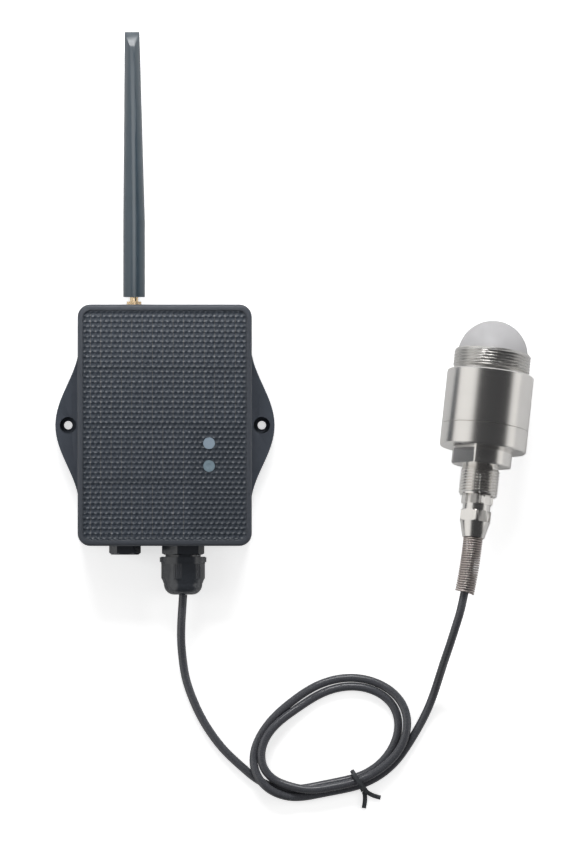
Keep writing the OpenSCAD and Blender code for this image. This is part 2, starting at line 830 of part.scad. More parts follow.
module whip_loft() {
    per_side = 5;
    n = 6 * per_side;
    levels = 12;
    start = whip_round_l / whip_l;
    heights = concat([0], [for (k = [0 : levels]) start + (1 - start) * k / levels]);
    points = [for (h = heights) let (f = max(0, (h - start) / (1 - start)))
        for (p = whip_section(whip_taper * f, per_side))
            [p.x - whip_lean * f, p.y, whip_z + h * whip_l]];
    polyhedron(points, sweep_faces(len(heights), n), convexity = 4);
}

module antenna_whip() color("#4f5963") {
    drop = 0.54 * whip_tip_w;
    antenna_port() difference() {
        whip_loft();
        translate([0, 0, whip_z - 1])
            cylinder(d = neck_d + 2 * seat_fit, h = whip_socket_h + 1.1);
        cylinder_from(whip_z + whip_socket_h, whip_z + whip_l - whip_bevel_l - 6,
            radiator_d + 2 * seat_fit);
        translate([0, 0.08 * whip_tip_w, whip_z + whip_l])
            rotate([-atan(drop / whip_bevel_l), 0, 0])
                translate([-whip_tip_w, -2 * whip_tip_w, -2 * whip_bevel_l])
                    cube([2 * whip_tip_w, 2 * whip_tip_w, 3 * whip_bevel_l]);
    }
}

module antenna_radiator() color("#b87333") {
    antenna_port() cylinder_from(whip_z + whip_socket_h + eps,
        whip_z + whip_l - whip_bevel_l - 7, radiator_d);
}

// ---- cable gland ----

module gland_body() color("#232529") {
    port(gland_x) difference() {
        union() {
            cylinder_from(-wall - nut_h - 0.8, eps, gland_thread_d);
            rotate(flange_turn) chamfered_hex(gland_flange_af, gland_flange_h, 0.6);
            cylinder_from(gland_flange_h - eps, gland_mouth, gland_cap_thread_d);
        }
        cylinder_from(-wall - nut_h - 1, gland_mouth + 1, gland_inner_d);
        cylinder_from(seal_z, gland_mouth + 1, gland_bore_d);
        rotate_extrude() translate([gland_thread_d / 2 - eps, -eps])
            square([o_ring_d + 0.1, 0.9]);
    }
}

module gland_o_ring() color("#111214") {
    port(gland_x) cylinder_ring(gland_thread_d + 0.02, gland_thread_d + 2 * o_ring_d, 0, 0.85);
}

module cylinder_ring(hole, d, z, h) {
    translate([0, 0, z]) ring(d, hole, h);
}

module gland_lock_nut() color("#232529") {
    port(gland_x) translate([0, 0, -wall - nut_h]) difference() {
        hex(nut_flats, nut_h);
        translate([0, 0, -eps])
            cylinder(d = gland_thread_d + 2 * seat_fit, h = nut_h + 2 * eps);
    }
}

module gland_claw() color("#2b2d31") {
    mouth_d = gland_cap_thread_d - 3.5;
    tip_d = gland_bore_d + 1.6;
    fingers = 8;
    port(gland_x) difference() {
        translate([0, 0, claw_z]) {
            cylinder(d = mouth_d, h = 1.2);
            translate([0, 0, 1.2 - eps])
                cylinder(d1 = mouth_d, d2 = tip_d, h = claw_l - 1.2 + eps);
        }
        cylinder_from(claw_z - 1, claw_z + claw_l + 1, gland_bore_d + 0.2);
        for (i = [0 : fingers / 2 - 1]) rotate(i * 360 / fingers)
            translate([-mouth_d, -0.4, claw_z + 1.6]) cube([2 * mouth_d, 0.8, claw_l]);
    }
}

module gland_seal() color("#17181a") {
    port(gland_x) cylinder_ring(cable_d + 0.02, gland_bore_d - 0.2, seal_z + 0.02,
        seal_end - seal_z);
}

module gland_cap() color("#232529") {
    grooves = 60;
    rim_h = 3;
    grip_z = gland_cap_z + rim_h + 0.5;
    shoulder_z = grip_z + 7.6;
    dome_start = gland_cap_z + gland_cap_h - 5.5;
    dome_r0 = 9.75;
    bore_r = gland_cap_thread_d / 2 + run_fit;
    hexagon_d = 2 * gland_grip_d / (1 + cos(30));
    port(gland_x) difference() {
        union() {
            cylinder_from(gland_cap_z, grip_z, gland_rim_d - 1.2);
            cylinder_from(gland_cap_z + 0.3, gland_cap_z + rim_h - 0.3, gland_rim_d);
            translate([0, 0, grip_z - eps]) linear_extrude(shoulder_z - grip_z + 2 * eps)
                intersection() {
                    difference() {
                        circle(d = gland_grip_d);
                        for (i = [0 : grooves - 1]) rotate(i * 360 / grooves)
                            translate([gland_grip_d / 2 + 0.18, 0]) circle(0.42, $fn = 16);
                    }
                    rotate(flange_turn) circle(d = hexagon_d, $fn = 6);
                }
            translate([0, 0, shoulder_z]) intersection() {
                cylinder(r1 = gland_grip_d / 2 - 0.35, r2 = dome_r0,
                    h = dome_start - shoulder_z + eps);
                rotate(flange_turn) cylinder(d = hexagon_d, h = gland_cap_h, $fn = 6);
            }
            rotate_extrude() polygon(concat([[0, dome_start]],
                [for (a = [0 : 10 : 90])
                    [dome_r0 - 5 + 5 * cos(a), dome_start + 5.5 * sin(a)]],
                [[0, gland_end]]));
        }
        cylinder_from(gland_cap_z - 1, gland_mouth + 1.4, 2 * bore_r);
        translate([0, 0, gland_mouth + 1.4 - eps])
            cylinder(r1 = bore_r, r2 = gland_bore_d / 2 + 1.6, h = 3.2);
        cylinder_from(gland_mouth + 4.5, gland_mouth + 5.6, gland_bore_d + 3.2);
        cylinder_from(gland_mouth, gland_end + 1, gland_exit_d);
    }
}

// ---- blanking plug ----

module port_plug() color("#232529") {
    port(-plug_x) difference() {
        union() {
            cylinder_from(-wall - nut_h - 0.8, eps, plug_thread_d);
            chamfered_hex(plug_af, plug_head_h, 1);
        }
        rotate_extrude() translate([plug_thread_d / 2 - eps, -eps])
            square([0.8, 0.9]);
    }
}

module port_plug_o_ring() color("#111214") {
    port(-plug_x) cylinder_ring(plug_thread_d + 0.02, plug_thread_d + 1.5, 0, 0.85);
}

module port_plug_nut() color("#232529") {
    port(-plug_x) translate([0, 0, -wall - nut_h]) difference() {
        hex(plug_thread_d + 4, nut_h);
        translate([0, 0, -eps])
            cylinder(d = plug_thread_d + 2 * seat_fit, h = nut_h + 2 * eps);
    }
}

// ---- sensor head ----

module lens_dome() color("#e6e8e6") {
    groove_z = (skirt_z + process_l) / 2;
    sensor() difference() {
        union() {
            cylinder_from(skirt_z, dome_z, 2 * skirt_r);
            intersection() {
                cylinder_from(dome_z - eps, dome_z + dome_r + 1, 2 * skirt_r);
                translate([0, 0, dome_z]) sphere(dome_r);
            }
        }
        rotate_extrude() translate([skirt_r - lens_ring_d * 0.8, groove_z - lens_ring_d * 0.6])
            square([lens_ring_d, lens_ring_d * 1.2]);
    }
}

module lens_o_ring() color("#1b1c1e") {
    sensor() translate([0, 0, (skirt_z + process_l) / 2])
        torus(2 * skirt_r - 0.02, lens_ring_d * 0.75);
}

module front_housing() color("#b8bcc0") {
    r = process_d / 2;
    bore = skirt_r + seat_fit;
    sensor() rotate_extrude() polygon([
        [bore, process_l], [r - thread_chamfer, process_l], [r, process_l - thread_chamfer],
        [r, relief_l + relief_d], [r - relief_d, relief_l], [r - relief_d, 0],
        [head_r - head_chamfer, 0], [head_r, -head_chamfer],
        [head_r, seam_z + 0.3], [head_r - 0.3, seam_z],
        [spigot_d / 2 + seat_fit, seam_z], [spigot_d / 2 + seat_fit, seam_z + spigot_l + 0.5],
        [chamber_d / 2, seam_z + spigot_l + 0.5], [chamber_d / 2, skirt_z], [bore, skirt_z]
    ]);
}

module rear_housing() color("#b4b8bc") {
    r = neck_thread_d / 2;
    sensor() difference() {
        rotate_extrude() polygon([
            [wire_bore_d / 2, seam_z + spigot_l - 4], [spigot_d / 2 - 3, seam_z + spigot_l - 4],
            [spigot_d / 2 - 3, seam_z + spigot_l], [spigot_d / 2, seam_z + spigot_l],
            [spigot_d / 2, seam_z], [head_r - 0.3, seam_z], [head_r, seam_z - 0.3],
            [head_r, rear_z + head_chamfer], [head_r - head_chamfer, rear_z],
            [collar_d / 2, rear_z], [collar_d / 2, collar_z + 0.5],
            [collar_d / 2 - 0.5, collar_z], [r - relief_d, collar_z],
            [r - relief_d, collar_z - neck_relief_l + relief_d],
            [r, collar_z - neck_relief_l], [r, neck_z + thread_chamfer],
            [r - thread_chamfer, neck_z], [gland_screw_d / 2 + seat_fit, neck_z],
            [gland_screw_d / 2 + seat_fit, neck_z + gland_screw_l + 1],
            [wire_bore_d / 2, neck_z + gland_screw_l + 1]
        ]);
        rotate(collar_turn) for (side = [0, 180]) rotate(side)
            translate([collar_af / 2, -collar_d, collar_z - eps])
                cube([collar_d, 2 * collar_d, collar_l - 0.6]);
        translate([0, 0, seam_z + 2.4]) rotate_extrude()
            translate([spigot_d / 2 - 1.2, 0]) square([2, 2]);
    }
}

module housing_o_ring() color("#1b1c1e") {
    sensor() translate([0, 0, seam_z + 3.4]) torus(spigot_d + 0.1, 1.2);
}

module radar_board() color("#1f5a38") {
    sensor() cylinder_from(disc_z, disc_z + board_h, disc_d);
}

module horn_feed() color("#c0c3c6") {
    throat = 3;
    mouth = skirt_r - 5;
    sensor() rotate_extrude() polygon([
        [throat, feed_z], [mouth - 3, feed_z], [mouth - 3, feed_z + 3],
        [throat + 1.5, feed_z + 3], [mouth, skirt_z - 0.6], [mouth - 1.4, skirt_z - 0.6],
        [throat, feed_z + 3]
    ]);
}

module sensor_gland_body() color("#c4c8cb") {
    sensor() difference() {
        union() {
            cylinder_from(neck_z - eps, neck_z + gland_screw_l, gland_screw_d);
            translate([0, 0, hex_z]) rotate(44) hex(sensor_hex_af, sensor_hex_l);
            cylinder_from(cap_z, hex_z + eps, sensor_stub_d);
            cylinder_from(taper_z + 1, cap_z + eps, sensor_stub_d - 1.6);
        }
        cylinder_from(taper_z, neck_z + gland_screw_l + 1, wire_bore_d);
        cylinder_from(taper_z, taper_z + sensor_seal_l, sensor_seal_d + 0.2);
    }
}

module sensor_gland_seal() color("#17181a") {
    sensor() cylinder_ring(cable_d + 0.02, sensor_seal_d, taper_z + 0.8, sensor_seal_l - 1);
}

module sensor_gland_cap() color("#c4c8cb") {
    sensor() difference() {
        union() {
            translate([0, 0, taper_z - eps]) rotate(30) hex(sensor_cap_af, sensor_cap_l);
            translate([0, 0, spring_z])
                cylinder(d1 = taper_d, d2 = sensor_cap_af - 0.3, h = taper_l + eps);
        }
        cylinder_from(taper_z + 0.8, cap_z + 1, sensor_stub_d - 1.6 + 2 * seat_fit);
        cylinder_from(spring_z - 1, taper_z + 1, cable_d + 2 * free_fit);
        cylinder_from(spring_z - 1, spring_z + spring_seat + spring_wire, spring_d + 2 * seat_fit);
    }
}

// Point of the sensor's cable at a distance s behind the taper: straight inside it, then bent.
function bent(s) =
    let (a = s <= 0 ? 0 : s / bend_r * 180 / PI, off = bend_r * (1 - cos(a)))
    [bend_dir.x * off, bend_dir.y * off, spring_z - (s <= 0 ? s : bend_r * sin(a))];
function bent_tangent(s) = unit(bent(s + 0.01) - bent(s - 0.01));

module strain_spring() color("#c8ccd0") {
    per_turn = 14;
    turns = (spring_l + spring_seat) / spring_pitch;
    mean_r = (spring_d - spring_wire) / 2;
    path = [for (i = [0 : floor(turns * per_turn)])
        let (s = i / per_turn * spring_pitch - spring_seat, a = 360 * i / per_turn,
            t = bent_tangent(s), u = unit(cross(t, [1, 0, 0])), v = cross(t, u))
        bent(s) + mean_r * (cos(a) * u + sin(a) * v)];
    sensor() tube(path, spring_wire, 6);
}

// ---- cable ----

// Distance from the loop's centre to its middle line, in the direction a.
function loop_radius(a) =
    let (b = a - loop_tilt)
    loop_long * loop_short / sqrt(pow(loop_short * cos(b), 2) + pow(loop_long * sin(b), 2))
        + loop_wave * cos(3 * (a - loop_wave_at));
function loop_point(a, u, z) =
    [loop_at.x + (loop_radius(a) + u) * cos(a), loop_at.y + (loop_radius(a) + u) * sin(a), z];

module cable_in_box() color("#2c2f35") {
    translate([gland_x, jacket_y, port_z]) rotate([90, 0, 0])
        cylinder(d = cable_d, h = gland_end - wall - nut_h - 1.5);
}

module cable_lead() color("#2c2f35") {
    tube(smooth_path(lead_route, 2), cable_d, cable_sides);
}

module cable_coil() color("#2c2f35") {
    n = 8;
    cut = bundle_h / 4;
    section = [[1, -1], [1, 1], [-1, 1], [-1, -1]];
    corner = [for (s = section) each [
        [s.x * bundle_w / 2, s.y * (bundle_h / 2 - cut)],
        [s.x * (bundle_w / 2 - cut), s.y * bundle_h / 2]]];
    outline = [corner[1], corner[0], corner[2], corner[3], corner[5], corner[4],
        corner[6], corner[7]];
    points = [for (i = [0 : loop_rings - 1]) let (a = 360 * i / loop_rings)
        for (p = outline) loop_point(a, p.x, p.y + bundle_h / 2)];
    faces = [for (i = [0 : loop_rings - 1], k = [0 : n - 1])
        let (j = (i + 1) % loop_rings) each [
            [i * n + k, i * n + (k + 1) % n, j * n + k],
            [i * n + (k + 1) % n, j * n + (k + 1) % n, j * n + k]]];
    polyhedron(points, faces, convexity = 8);
}

module cable_tail() color("#2c2f35") {
    tube(smooth_path(tail_route, 2), cable_d, cable_sides);
}

module cable_in_head() color("#2c2f35") {
    path = [for (s = [-taper_l - sensor_cap_l - sensor_gap : 4 : spring_l]) bent(s)];
    sensor() tube(concat(path, [bent(spring_l)]), cable_d, cable_sides, [0, 1, 0]);
}

// One wire: a tail, round the strands, and the other tail beside the first.
module cable_tie() color("#3a3d42") {
    out = [cos(tie_angle), sin(tie_angle), 0];
    along = [-out.y, out.x, 0];
    mid = loop_point(tie_angle, 0, 0);
    w = bundle_w / 2 + tie_d / 2 - 0.1;
    h = bundle_h + tie_d / 2 - 0.1;
    c = bundle_h / 4;
    low = tie_d / 2 + 0.05;
    wire = [
        [w + 8.5, 5, low], [w + 5.5, 2.4, low + 0.6], [w + 2.6, 0.8, low + 1.6],
        [w + 0.6, 0.6, 4], [w, 0.4, h - c], [w - c, 0.2, h], [c - w, 0, h], [-w, 0, h - c],
        [-w, 0, 3], [c - w, 0, low], [w - c, -0.2, low], [w + 0.6, -0.6, low],
        [w + 2.6, -0.8, low], [w + 5.5, -2.4, low], [w + 8.5, -5, low]
    ];
    tube([for (p = wire) mid + p.x * out + p.y * along + [0, 0, p.z]], tie_d, 8,
        unit(along + [0, 0, 0.02]));
}

back_shell();
front_cover();
cover_gasket();
cover_screws();
solar_board();
solar_cells();
solar_film();
indicator_lens();
push_button();
switch_plunger();
switch_body();
status_led();
main_board();
board_screws();
battery_holder();
battery_cell();
radio_module();
terminal_block();
lead_wires();
antenna_connector();
antenna_lock_nut();
antenna_o_ring();
antenna_coax();
antenna_seal();
antenna_coupling();
antenna_whip();
antenna_radiator();
gland_body();
gland_o_ring();
gland_lock_nut();
gland_claw();
gland_seal();
gland_cap();
port_plug();
port_plug_o_ring();
port_plug_nut();
lens_dome();
lens_o_ring();
front_housing();
rear_housing();
housing_o_ring();
radar_board();
horn_feed();
sensor_gland_body();
sensor_gland_seal();
sensor_gland_cap();
strain_spring();
cable_in_box();
cable_lead();
cable_coil();
cable_tail();
cable_in_head();
cable_tie();
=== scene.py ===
"""Looks of the radar level transmitter: finishes, embossed solar panel, threads and cable.

Everything is in the part's own frame, in metres unless a comment says millimetres. The enclosure
lies on its back, +Z is up and the antenna points along +Y. The camera looks straight down.
"""

import json
import math

import bmesh
import bpy
import numpy as np
from mathutils import Matrix, Vector


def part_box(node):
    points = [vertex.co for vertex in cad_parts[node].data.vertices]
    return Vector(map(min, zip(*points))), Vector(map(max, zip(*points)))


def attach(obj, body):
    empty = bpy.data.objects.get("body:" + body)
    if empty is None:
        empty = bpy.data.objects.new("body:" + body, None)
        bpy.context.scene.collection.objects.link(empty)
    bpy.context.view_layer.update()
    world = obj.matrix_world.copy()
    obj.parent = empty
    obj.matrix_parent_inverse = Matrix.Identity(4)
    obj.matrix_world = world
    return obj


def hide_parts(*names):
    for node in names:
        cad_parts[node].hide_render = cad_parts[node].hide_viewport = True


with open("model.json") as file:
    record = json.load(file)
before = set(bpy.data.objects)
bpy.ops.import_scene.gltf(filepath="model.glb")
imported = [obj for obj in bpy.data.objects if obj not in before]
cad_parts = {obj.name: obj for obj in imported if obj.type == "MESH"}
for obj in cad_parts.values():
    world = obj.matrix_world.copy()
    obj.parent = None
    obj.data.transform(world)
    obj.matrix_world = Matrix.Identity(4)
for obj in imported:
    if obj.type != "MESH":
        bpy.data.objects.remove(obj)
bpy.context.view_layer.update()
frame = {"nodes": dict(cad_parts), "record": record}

# ---- sizes and places, from the frame where it has them ----

MM = 0.001
PANEL_LOW, PANEL_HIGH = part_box("solar_film")
CABLE_D = 4.2 * MM


def sensor_matrix():
    """The sensor's own frame: +Z out of the lens, +Y down, 0 on the shoulder behind the thread."""
    mount = next(m for m in frame["record"]["mounts"] if m["name"] == "process_thread")
    thread_middle = 6.1 * MM  # from the shoulder to the mount
    z = Vector(mount["axis"]).normalized()
    y = (z * z.z - Vector((0, 0, 1))).normalized()
    x = y.cross(z)
    origin = Vector(mount["pos_m"]) - z * thread_middle
    turn = Matrix((x, y, z)).transposed().to_4x4()
    return Matrix.Translation(origin) @ turn


SENSOR = sensor_matrix()


# ---- materials ----


def fill(node, socket, value):
    """Links an input to another node's output, or sets it to a plain value."""
    if isinstance(value, bpy.types.NodeSocket):
        node.id_data.links.new(value, node.inputs[socket])
    else:
        node.inputs[socket].default_value = value


def node_adder(tree):
    """A function that adds a shader node to a tree, and sets or links its inputs."""

    def add(kind, inputs=(), **settings):
        node = tree.nodes.new("ShaderNode" + kind)
        for key, value in settings.items():
            setattr(node, key, value)
        for socket, value in dict(inputs).items():
            fill(node, socket, value)
        return node

    return add


def new_material(name):
    """A material, its Principled shader and a function that adds nodes to it."""
    mat = bpy.data.materials.new(name)
    mat.use_nodes = True
    return mat, mat.node_tree.nodes["Principled BSDF"], node_adder(mat.node_tree)


def object_coords(add):
    return add("TexCoord").outputs["Object"]


def mixed(add, factor, a, b):
    """Colour a where factor is 0, b where it is 1."""
    factor_in, a_in, b_in, colour_out = 0, 6, 7, 2  # the sockets of a Mix node set to colours
    node = add("Mix", {factor_in: factor, a_in: a, b_in: b}, data_type="RGBA")
    return node.outputs[colour_out]


def rgb(r, g, b):
    return (r, g, b, 1)


def finish(name, colour, roughness, grain=0.3 * MM, depth=0.04 * MM, mottle=0.12, metallic=0.0,
           coat=0.0, specular=0.5, stretch=(1, 1, 1)):
    """A surface with fine grain, which moves its height and roughness, and a broad mottle.

    grain is the size of the grain, depth its height, and mottle how far the colour varies.
    """
    broad_scale, uneven = 0.03, 0.15
    mat, shader, add = new_material(name)
    coords = add("Mapping", {"Vector": object_coords(add), "Scale": stretch}).outputs[0]
    fine = add("TexNoise", {"Vector": coords, "Scale": 1 / grain, "Detail": 3.0}).outputs["Fac"]
    broad = add("TexNoise", {"Vector": coords, "Scale": broad_scale / grain,
                             "Detail": 2.0}).outputs["Fac"]
    dark = rgb(*(c * (1 - mottle) for c in colour))
    light = rgb(*(min(c * (1 + mottle), 1) for c in colour))
    rough = add("MapRange", {"Value": fine, "To Min": roughness * (1 - uneven),
                             "To Max": roughness * (1 + uneven)})
    bump = add("Bump", {"Height": fine, "Distance": depth, "Strength": 0.5})
    for socket, value in (
        ("Base Color", mixed(add, broad, dark, light)), ("Roughness", rough.outputs[0]),
        ("Normal", bump.outputs[0]), ("Metallic", metallic), ("Coat Weight", coat),
        ("Specular IOR Level", specular),
    ):
        fill(shader, socket, value)
    return mat


def turned_steel(name, colour, roughness):
    """Stainless steel with fine rings round the piece's own Z axis, as a lathe leaves them."""
    mat = finish(name, colour, roughness, grain=0.35 * MM, depth=0.004 * MM, mottle=0.05,
                 metallic=1.0, stretch=(0.02, 0.02, 1))
    shader = mat.node_tree.nodes["Principled BSDF"]
    tangent = node_adder(mat.node_tree)("Tangent", axis="Z")
    fill(shader, "Anisotropic", 0.5)
    fill(shader, "Tangent", tangent.outputs[0])
    return mat


def lens_white(name):
    """White moulded plastic that lets a little light in."""
    mat = finish(name, (0.52, 0.515, 0.525), 0.5, grain=0.5 * MM, depth=0.01 * MM, mottle=0.01)
    shader = mat.node_tree.nodes["Principled BSDF"]
    fill(shader, "Subsurface Weight", 0.3)
    fill(shader, "Subsurface Radius", (3 * MM, 3 * MM, 3 * MM))
    return mat


# Colour and roughness of each plain finish, and what else it has of its own.
FINISHES = {
    "shell_plastic": ((0.084, 0.096, 0.118), 0.5, {"specular": 0.25}),
    "cover_plastic": ((0.07, 0.078, 0.093), 0.48, {"specular": 0.35}),
    "seal_rubber": ((0.015, 0.015, 0.016), 0.6, {}),
    "gasket_rubber": ((0.45, 0.1, 0.05), 0.6, {}),
    "screw_steel": ((0.6, 0.6, 0.58), 0.3, {"metallic": 1.0, "depth": 0.005 * MM}),
    "panel_board": ((0.02, 0.024, 0.03), 0.5, {}),
    "solar_silicon": ((0.02, 0.028, 0.045), 0.25, {}),
    "indicator_plastic": ((0.29, 0.365, 0.44), 0.3, {"mottle": 0.04, "depth": 0.01 * MM}),
    "button_plastic": ((0.2, 0.27, 0.32), 0.4, {"mottle": 0.04, "depth": 0.01 * MM}),
    "switch_plastic": ((0.03, 0.03, 0.032), 0.5, {}),
    "led_resin": ((0.6, 0.66, 0.55), 0.2, {}),
    "circuit_board": ((0.02, 0.12, 0.05), 0.4, {}),
    "holder_plastic": ((0.02, 0.02, 0.022), 0.5, {}),
    "cell_sleeve": ((0.05, 0.17, 0.09), 0.3, {}),
    "shield_metal": ((0.6, 0.6, 0.6), 0.3, {"metallic": 1.0, "depth": 0.005 * MM}),
    "terminal_plastic": ((0.04, 0.22, 0.08), 0.5, {}),
    "wire_plastic": ((0.4, 0.05, 0.03), 0.4, {}),
    "connector_brass": ((0.8, 0.62, 0.4), 0.24,
                        {"metallic": 1.0, "grain": 0.15 * MM, "depth": 0.004 * MM}),
    "whip_plastic": ((0.031, 0.05, 0.066), 0.33,
                     {"grain": 0.25 * MM, "depth": 0.01 * MM, "specular": 0.8}),
    "copper_wire": ((0.72, 0.33, 0.18), 0.3, {"metallic": 1.0}),
    "gland_plastic": ((0.042, 0.047, 0.056), 0.2,
                      {"grain": 0.4 * MM, "depth": 0.006 * MM, "specular": 0.6, "coat": 0.2}),
    "spring_steel": ((0.54, 0.485, 0.465), 0.5, {"metallic": 1.0, "depth": 0.004 * MM}),
    "feed_metal": ((0.75, 0.75, 0.76), 0.25, {"metallic": 1.0}),
    "cable_jacket": ((0.084, 0.087, 0.098), 0.27, {"grain": 0.5 * MM, "depth": 0.01 * MM}),
    "tie_plastic": ((0.045, 0.05, 0.056), 0.5, {}),
}
MATERIALS = {
    name: finish(name, colour, roughness, **own)
    for name, (colour, roughness, own) in FINISHES.items()
}
MATERIALS["lens_plastic"] = lens_white("lens_plastic")
MATERIALS["stainless_steel"] = turned_steel("stainless_steel", (0.76, 0.745, 0.725), 0.22)
MATERIALS["thread_steel"] = turned_steel("thread_steel", (0.57, 0.56, 0.545), 0.28)


# ---- mesh helpers ----


def smooth(obj, sharp):
    """Smooth shading, but edges sharper than an angle in degrees stay crisp."""
    obj.data.polygons.foreach_set("use_smooth", [True] * len(obj.data.polygons))
    obj.data.set_sharp_from_angle(angle=math.radians(sharp))


def add_mesh(name, points, faces, material, matrix=None, sharp=35):
    """A smooth-shaded mesh object whose edges stay crisp above the angle sharp."""
    mesh = bpy.data.meshes.new(name)
    mesh.from_pydata([tuple(p) for p in points], [], faces)
    mesh.update()
    obj = bpy.data.objects.new(name, mesh)
    bpy.context.scene.collection.objects.link(obj)
    if matrix is not None:
        obj.matrix_world = matrix
    mesh.materials.append(MATERIALS[material])
    smooth(obj, sharp)
    return obj


def placed(obj, body, *nodes):
    """The piece moves with a body, and stands for CAD nodes."""
    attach(obj, body)
    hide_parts(*nodes)


def rounded(node, width, material, body="device", sharp=40):
    """A CAD piece whose edges above the angle sharp are turned over by a small radius."""
    weld, flat = 0.002 * MM, math.radians(0.5)
    obj = bpy.data.objects.new(node + "_rounded", frame["nodes"][node].data.copy())
    bpy.context.scene.collection.objects.link(obj)
    mesh = bmesh.new()
    mesh.from_mesh(obj.data)
    bmesh.ops.remove_doubles(mesh, verts=mesh.verts, dist=weld)
    bmesh.ops.dissolve_limit(mesh, angle_limit=flat, verts=mesh.verts, edges=mesh.edges)
    mesh.to_mesh(obj.data)
    mesh.free()
    obj.data.materials.clear()
    obj.data.materials.append(MATERIALS[material])
    bevel = obj.modifiers.new("edges", "BEVEL")
    bevel.width = width
    bevel.segments = 2
    bevel.limit_method = "ANGLE"
    bevel.angle_limit = math.radians(sharp)
    smooth(obj, sharp)
    placed(obj, body, node)


THREAD = 1.5  # pitch of both of the sensor's threads, in millimetres


def tooth(phase):
    """Depth of a thread at a phase from 0 to 1: a V with a small flat at its crest and root."""
    flat = 0.125
    return min(1.0, max(0.0, (1 + 2 * flat) * abs(2 * phase - 1) - flat))


def turned(name, node, profile, material, steps=144, thread=None, flats=None, start=0.0):
    """A lathe piece on the sensor's axis, from a closed profile of (radius, z) in millimetres.

    thread is (z0, z1, depth): a helical groove in the walls near the outside, from z0 to z1.
    flats is (z0, z1, sides, across, turn): the piece is milled to that many flat sides.
    steps is the number of facets round the piece, and start the angle of the first.
    """
    rings_to_pitch, run_in, outer_share, slack = 7, 0.5, 0.9, 1
    thread_low, thread_high, groove = thread or (0, 0, 0)
    thread_r = max((r for r, z in profile if thread and thread_low <= z <= thread_high),
                   default=0)
    stations = []
    for (r0, z0), (r1, z1) in zip(profile, profile[1:] + profile[:1]):
        stations.append((r0, z0))
        in_thread = min(z0, z1) >= thread_low - slack and max(z0, z1) <= thread_high + slack
        if thread and r0 == r1 and in_thread:
            count = int(abs(z1 - z0) / THREAD * rings_to_pitch)
            stations += [(r0, z0 + (z1 - z0) * k / count) for k in range(1, count)]

    def radius(r, z, angle):
        if thread and thread_low <= z <= thread_high and r > outer_share * thread_r:
            cut = min(1.0, (z - thread_low) / run_in, (thread_high - z) / run_in)
            phase = (z / THREAD - angle / math.tau) % 1
            r -= groove * tooth(phase) * max(cut, 0)
        if flats:
            low, high, sides, across, turn = flats
            if low <= z <= high and r > across / 2:
                side = math.tau / sides
                off = (angle - math.radians(turn)) % side - side / 2
                r = min(r, across / 2 / math.cos(off))
        return r

    points = []
    for r, z in stations:
        for k in range(steps):
            a = math.radians(start) + math.tau * k / steps
            rr = radius(r, z, a)
            points.append((rr * math.cos(a) * MM, rr * math.sin(a) * MM, z * MM))
    rings = len(stations)
    faces = []
    for i in range(rings):
        j = (i + 1) % rings
        for k in range(steps):
            m = (k + 1) % steps
            faces.append((i * steps + k, i * steps + m, j * steps + m, j * steps + k))
    placed(add_mesh(name, points, faces, material, SENSOR), "device", node)


def swept(name, path, section, material, up, matrix=None):
    """A tube of any section along a path: up(i) gives the direction that stays up at point i."""
    points, n = [], len(section)
    for i, p in enumerate(path):
        t = (path[min(i + 1, len(path) - 1)] - path[max(i - 1, 0)]).normalized()
        side = t.cross(up(i)).normalized()
        over = side.cross(t)
        points += [p + side * a + over * b for a, b in section]
    faces = [tuple(range(n)), tuple(reversed(range(len(points) - n, len(points))))]
    for i in range(len(path) - 1):
        for k in range(n):
            m = (k + 1) % n
            faces.append((i * n + k, (i + 1) * n + k, (i + 1) * n + m, i * n + m))
    return add_mesh(name, points, faces, material, matrix, sharp=50)


def round_section(diameter, sides):
    angles = [math.tau * k / sides for k in range(sides)]
    return [(diameter / 2 * math.cos(a), diameter / 2 * math.sin(a)) for a in angles]


# ---- camera ----


def make_camera():
    """Straight down on the object, from far off with a long lens."""
    lens, sensor = 1000.0, 36.0
    view_length = 0.431313  # of the image's long side, at the height of the enclosure's front
    aim = Vector((64.3, -0.9, 34)) * MM
    data = bpy.data.cameras.new("camera")
    data.lens = lens
    data.sensor_width = sensor
    distance = view_length * lens / sensor
    data.clip_end = 2.5 * distance
    camera = bpy.data.objects.new("camera", data)
    camera.location = aim + Vector((0, 0, distance))
    bpy.context.scene.collection.objects.link(camera)
    bpy.context.scene.camera = camera


make_camera()


# ---- cable ----

# The route's points, as the part's source has them, in millimetres.
LEAD_ROUTE = [
    (9.2, -85.7, 12.4), (8.8, -92, 12.3), (8.3, -100, 11), (8.2, -109, 8), (8.9, -118, 4.8),
    (10.5, -128, 2.6), (13.8, -138, 2.1), (18.4, -148, 2.1), (24, -157, 2.1),
    (30.8, -165.6, 2.1), (38.2, -172.4, 2.1),
]
TAIL_ROUTE = [
    (125.4, -158, 2.1), (129, -152, 2.1), (132.8, -144.6, 2.6), (135.9, -136.4, 5.4),
    (138.6, -128, 11), (141.2, -119.6, 18.4), (144, -111.2, 25.6), (146.7, -102.6, 31.4),
    (149.3, -94, 34.4), (151.4, -84.5, 35),
]
# The loop's middle, the half lengths and turn of its ellipse, and the wave laid over that.
LOOP_AT = Vector((84.2, -158.2)) * MM
LOOP_LONG, LOOP_SHORT, LOOP_TILT = 39 * MM, 24.7 * MM, 23
LOOP_WAVE, LOOP_WAVE_AT = 1.3 * MM, 87

